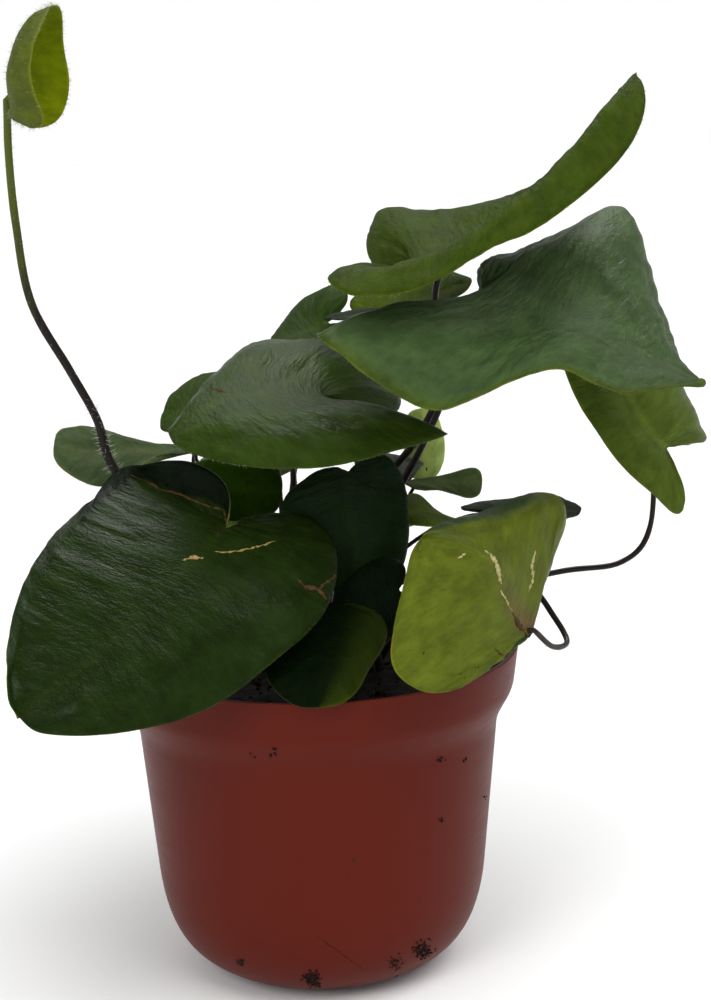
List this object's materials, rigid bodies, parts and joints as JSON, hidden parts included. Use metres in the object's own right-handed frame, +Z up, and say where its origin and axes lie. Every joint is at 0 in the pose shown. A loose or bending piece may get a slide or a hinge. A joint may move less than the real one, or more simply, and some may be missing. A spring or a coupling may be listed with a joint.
{
  "type": "potted heart fern",
  "caption": "Small fern with heart-shaped leathery fronds on thin wiry stalks, growing from dark peat in a round tapered plastic nursery pot with a wide collar",
  "frame": {"origin": "centre of the underside of the pot's base", "axes": "+Z up along the pot's axis; -Y is toward the viewer of the picture, +X to the viewer's right"},
  "size_m": [0.1541, 0.1488, 0.2124],
  "materials": {
    "pot": "satin red-brown, specked with dried peat",
    "soil": "dark crumbly peat",
    "crown": "dark scaly rhizome",
    "blade_young": "leathery leaf, finely hairy below",
    "stipe_young": "wiry leaf stalk",
    "blade_front": "leathery leaf, finely hairy below",
    "stipe_front": "wiry leaf stalk",
    "blade_middle": "leathery leaf, finely hairy below",
    "stipe_middle": "wiry leaf stalk",
    "blade_top": "leathery leaf, finely hairy below",
    "stipe_top": "wiry leaf stalk",
    "blade_right": "leathery leaf, finely hairy below",
    "stipe_right": "wiry leaf stalk",
    "blade_dark": "leathery leaf, finely hairy below",
    "stipe_dark": "wiry leaf stalk",
    "blade_lip": "leathery leaf, finely hairy below",
    "stipe_lip": "wiry leaf stalk",
    "blade_turned": "leathery leaf, finely hairy below",
    "stipe_turned": "wiry leaf stalk",
    "blade_hanging": "leathery leaf, finely hairy below",
    "stipe_hanging": "wiry leaf stalk",
    "blade_bright": "leathery leaf, finely hairy below",
    "stipe_bright": "wiry leaf stalk",
    "blade_nook": "leathery leaf, finely hairy below",
    "stipe_nook": "wiry leaf stalk",
    "blade_shoulder": "leathery leaf, finely hairy below",
    "stipe_shoulder": "wiry leaf stalk",
    "blade_peeping": "leathery leaf, finely hairy below",
    "stipe_peeping": "wiry leaf stalk",
    "blade_left": "leathery leaf, finely hairy below",
    "stipe_left": "wiry leaf stalk",
    "blade_olive": "leathery leaf, finely hairy below",
    "stipe_olive": "wiry leaf stalk",
    "blade_gap": "leathery leaf, finely hairy below",
    "stipe_gap": "wiry leaf stalk",
    "blade_spoon": "leathery leaf, finely hairy below",
    "stipe_spoon": "wiry leaf stalk",
    "blade_yellow": "leathery leaf, finely hairy below",
    "stipe_yellow": "wiry leaf stalk",
    "blade_pale": "leathery leaf, finely hairy below",
    "stipe_pale": "wiry leaf stalk",
    "blade_tucked": "leathery leaf, finely hairy below",
    "stipe_tucked": "wiry leaf stalk",
    "blade_slate": "leathery leaf, finely hairy below",
    "stipe_slate": "wiry leaf stalk",
    "blade_rear_a": "leathery leaf, finely hairy below",
    "stipe_rear_a": "wiry leaf stalk",
    "blade_rear_b": "leathery leaf, finely hairy below",
    "stipe_rear_b": "wiry leaf stalk",
    "blade_rear_c": "leathery leaf, finely hairy below",
    "stipe_rear_c": "wiry leaf stalk",
    "blade_rear_d": "leathery leaf, finely hairy below",
    "stipe_rear_d": "wiry leaf stalk",
    "blade_rear_e": "leathery leaf, finely hairy below",
    "stipe_rear_e": "wiry leaf stalk"
  },
  "bodies": {
    "root": {"pot": "pot", "soil": "soil", "crown": "crown", "blade_young": "blade_young", "stipe_young": "stipe_young", "blade_front": "blade_front", "stipe_front": "stipe_front", "blade_middle": "blade_middle", "stipe_middle": "stipe_middle", "blade_top": "blade_top", "stipe_top": "stipe_top", "blade_right": "blade_right", "stipe_right": "stipe_right", "blade_dark": "blade_dark", "stipe_dark": "stipe_dark", "blade_lip": "blade_lip", "stipe_lip": "stipe_lip", "blade_turned": "blade_turned", "stipe_turned": "stipe_turned", "blade_hanging": "blade_hanging", "stipe_hanging": "stipe_hanging", "blade_bright": "blade_bright", "stipe_bright": "stipe_bright", "blade_nook": "blade_nook", "stipe_nook": "stipe_nook", "blade_shoulder": "blade_shoulder", "stipe_shoulder": "stipe_shoulder", "blade_peeping": "blade_peeping", "stipe_peeping": "stipe_peeping", "blade_left": "blade_left", "stipe_left": "stipe_left", "blade_olive": "blade_olive", "stipe_olive": "stipe_olive", "blade_gap": "blade_gap", "stipe_gap": "stipe_gap", "blade_spoon": "blade_spoon", "stipe_spoon": "stipe_spoon", "blade_yellow": "blade_yellow", "stipe_yellow": "stipe_yellow", "blade_pale": "blade_pale", "stipe_pale": "stipe_pale", "blade_tucked": "blade_tucked", "stipe_tucked": "stipe_tucked", "blade_slate": "blade_slate", "stipe_slate": "stipe_slate", "blade_rear_a": "blade_rear_a", "stipe_rear_a": "stipe_rear_a", "blade_rear_b": "blade_rear_b", "stipe_rear_b": "stipe_rear_b", "blade_rear_c": "blade_rear_c", "stipe_rear_c": "stipe_rear_c", "blade_rear_d": "blade_rear_d", "stipe_rear_d": "stipe_rear_d", "blade_rear_e": "blade_rear_e", "stipe_rear_e": "stipe_rear_e"}
  },
  "joints": []
}
